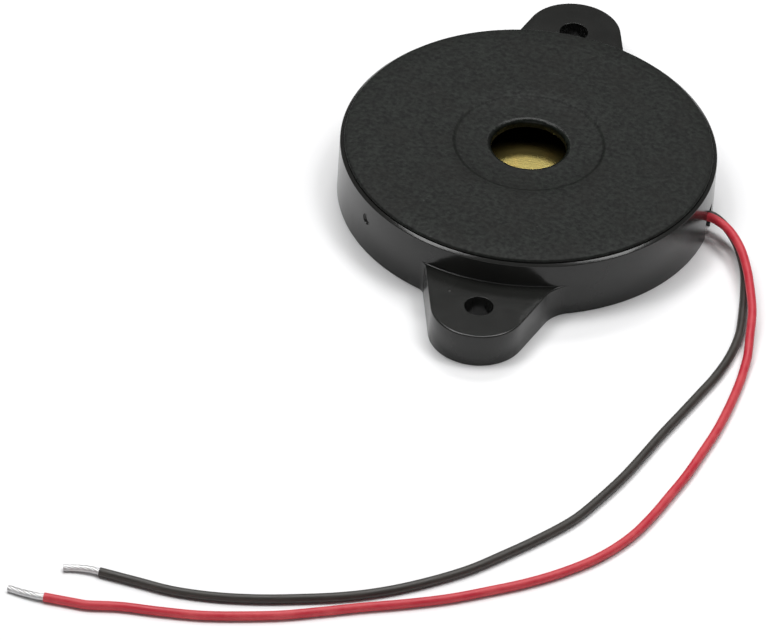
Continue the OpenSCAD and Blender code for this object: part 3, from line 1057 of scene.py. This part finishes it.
class BUZZER_OT_front_cover(bpy.types.Operator):
    """Build the matt front cover with its sound hole and recess"""

    bl_idname = "buzzer.front_cover"
    bl_label = "Front cover"

    def execute(self, context):
        s = context.scene.buzzer_cover
        hole, recess = s.sound_d / 2, s.recess_d / 2
        under, face = COVER_Z - COVER_T, COVER_Z - s.recess_h
        band, rim_in = COVER_R - BAND_W, COVER_R - RIM_R
        lip = hole + s.lip_r
        profile = [(CLAMP_R, under), (CLAMP_R, BRASS_TOP), (CLAMP_R + CLAMP_W, BRASS_TOP),
                   (CLAMP_R + CLAMP_W, under), (SPIGOT_R, under), (SPIGOT_R, SHOULDER_Z),
                   (COVER_R - RIM_FOOT, SHOULDER_Z), (COVER_R, SHOULDER_Z + RIM_FOOT)]
        profile += arc(rim_in, COVER_Z - BAND_DROP - RIM_R, RIM_R, 0, 83, 6)
        profile += [(band + (rim_in - band) * t, COVER_Z - BAND_DROP * t ** 1.5)
                    for t in (0.75, 0.5, 0.25, 0.1)]
        profile += [(band, COVER_Z), (band - BAND_ROW, COVER_Z),
                    (recess + RECESS_ROW, COVER_Z)]
        profile += [(recess + past * MM, COVER_Z - depth * s.recess_h)
                    for past, depth in RECESS_EASE]
        profile += [(lip + row, face) for row in LIP_ROWS]
        profile += arc(lip, face - s.lip_r, s.lip_r, 90, 180, 10)
        profile += [(hole, under + HOLE_CHIP), (hole + HOLE_CHIP, under), (CLAMP_R, under)]
        plastic = cover_plastic(s)
        dress(lathe("front_cover_shell", profile, plastic, segments=256), plastic,
              "cover_plastic", "front_cover")
        return {"FINISHED"}


class BUZZER_OT_bender(bpy.types.Operator):
    """Build the brass disc, the ceramic with its electrode and the adhesive"""

    bl_idname = "buzzer.bender"
    bl_label = "Bender"

    def execute(self, context):
        discs = (("brass_plate", brass_sheet(), "brass", "brass_disc"),
                 ("ceramic_plate", speckled("ceramic"), "ceramic", "ceramic_disc"),
                 ("silver_film", speckled("silver"), "silver", "silver_electrode"))
        for name, material, slot, node in discs:
            low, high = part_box(node)
            r, z0, z1 = high[0], low[2], high[2]
            edge = min(DISC_CHIP, CHIP_SHARE * (z1 - z0))
            profile = [(0, z0), (r - edge, z0), (r, z0 + edge), (r, z1 - edge),
                       (r - edge, z1), (0, z1)]
            dress(lathe(name, profile, material, segments=160), material, slot, node)
        bead = [(BEAD_IN, RIB_TOP)]
        bead += [(GLUE_R - back * MM, RIB_TOP + rise * MM) for back, rise in BEAD_OUTSIDE]
        bead += [(BRASS_R, GLUE_TOP), (BRASS_R, BRASS_LOW), (BEAD_IN + BEAD_TUCK, BRASS_LOW),
                 (BEAD_IN - BEAD_BULGE, (RIB_TOP + BRASS_LOW) / 2), (BEAD_IN, RIB_TOP)]
        glue = speckled("adhesive")
        dress(lathe("adhesive_bead", bead, glue, segments=160), glue, "adhesive",
              "adhesive_ring")
        return {"FINISHED"}


class BUZZER_OT_leads(bpy.types.Operator):
    """Build the two leads, their bare ends and the solder joints"""

    bl_idname = "buzzer.leads"
    bl_label = "Leads"

    def execute(self, context):
        s = context.scene.buzzer_leads
        tinned, solder = speckled("tinned_wire"), speckled("solder")
        skins = {"red": insulation("red_insulation", tuple(s.red), RED_WORN),
                 "black": insulation("black_insulation", tuple(s.black),
                                     scaled(s.black, BLACK_WEAR))}
        for color, route, tip, inner, slot_point in LEADS:
            for part, line in (("tip", tip), ("inner_end", inner)):
                points = smooth_route(line, s.wire_d / 2, WIRE_STEP)
                wire = run_tree(route_curve(f"{color}_{part}_strands", points),
                                shared("Strands", strands_tree), diameter=s.wire_d,
                                material=tinned)
                dress(wire, tinned, "tinned_wire", f"{color}_{part}")
            points = smooth_route(route, s.diameter / 2, LEAD_STEP)
            lead = run_tree(route_curve(f"{color}_lead_sleeve", points),
                            shared("Sleeve", sleeve_tree), diameter=s.diameter,
                            material=skins[color])
            dress(lead, skins[color], f"{color}_insulation", f"{color}_lead")
        for node, foot in SOLDER_FEET:
            low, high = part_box(node)
            middle = Vector(((low[0] + high[0]) / 2, (low[1] + high[1]) / 2, 0))
            profile = [(across * foot * MM, low[2] + up * (high[2] - low[2]))
                       for across, up in MOUND]
            obj = lathe(f"{node}_mound", profile, solder, segments=72)
            obj.data.transform(Matrix.Translation(middle))
            dress(obj, solder, "solder", node)
        return {"FINISHED"}


class BUZZER_PT_panel(bpy.types.Panel):
    """Lists the buzzer's operators and their settings"""

    bl_idname = "BUZZER_PT_panel"
    bl_label = "Piezo Buzzer"
    bl_space_type = "VIEW_3D"
    bl_region_type = "UI"
    bl_category = "Buzzer"

    def draw(self, context):
        for operator, settings in STEPS:
            column = self.layout.column(align=True)
            column.operator(operator)
            group = getattr(context.scene, settings, None) if settings else None
            for key in (group.__annotations__ if group else ()):
                column.prop(group, key)


STEPS = (("buzzer.stage", "buzzer_stage"), ("buzzer.leads", "buzzer_leads"),
         ("buzzer.housing", "buzzer_housing"), ("buzzer.front_cover", "buzzer_cover"),
         ("buzzer.bender", None))
SETTINGS = {"buzzer_stage": BuzzerStageSettings, "buzzer_leads": BuzzerLeadSettings,
            "buzzer_housing": BuzzerHousingSettings, "buzzer_cover": BuzzerCoverSettings}
OPERATORS = (BUZZER_OT_stage, BUZZER_OT_housing, BUZZER_OT_front_cover, BUZZER_OT_bender,
             BUZZER_OT_leads, BUZZER_PT_panel)


def register():
    """Registers the settings, the operators and the panel."""
    for name, settings in SETTINGS.items():
        bpy.utils.register_class(settings)
        setattr(bpy.types.Scene, name, PointerProperty(type=settings))
    for item in OPERATORS:
        bpy.utils.register_class(item)


def unregister():
    """Takes them all out again."""
    for item in reversed(OPERATORS):
        bpy.utils.unregister_class(item)
    for name, settings in SETTINGS.items():
        delattr(bpy.types.Scene, name)
        bpy.utils.unregister_class(settings)


def main():
    """Builds the buzzer and its stage."""
    register()
    for operator, _ in STEPS:
        group, name = operator.split(".")
        getattr(getattr(bpy.ops, group), name)()


if __name__ == "__main__":
    main()
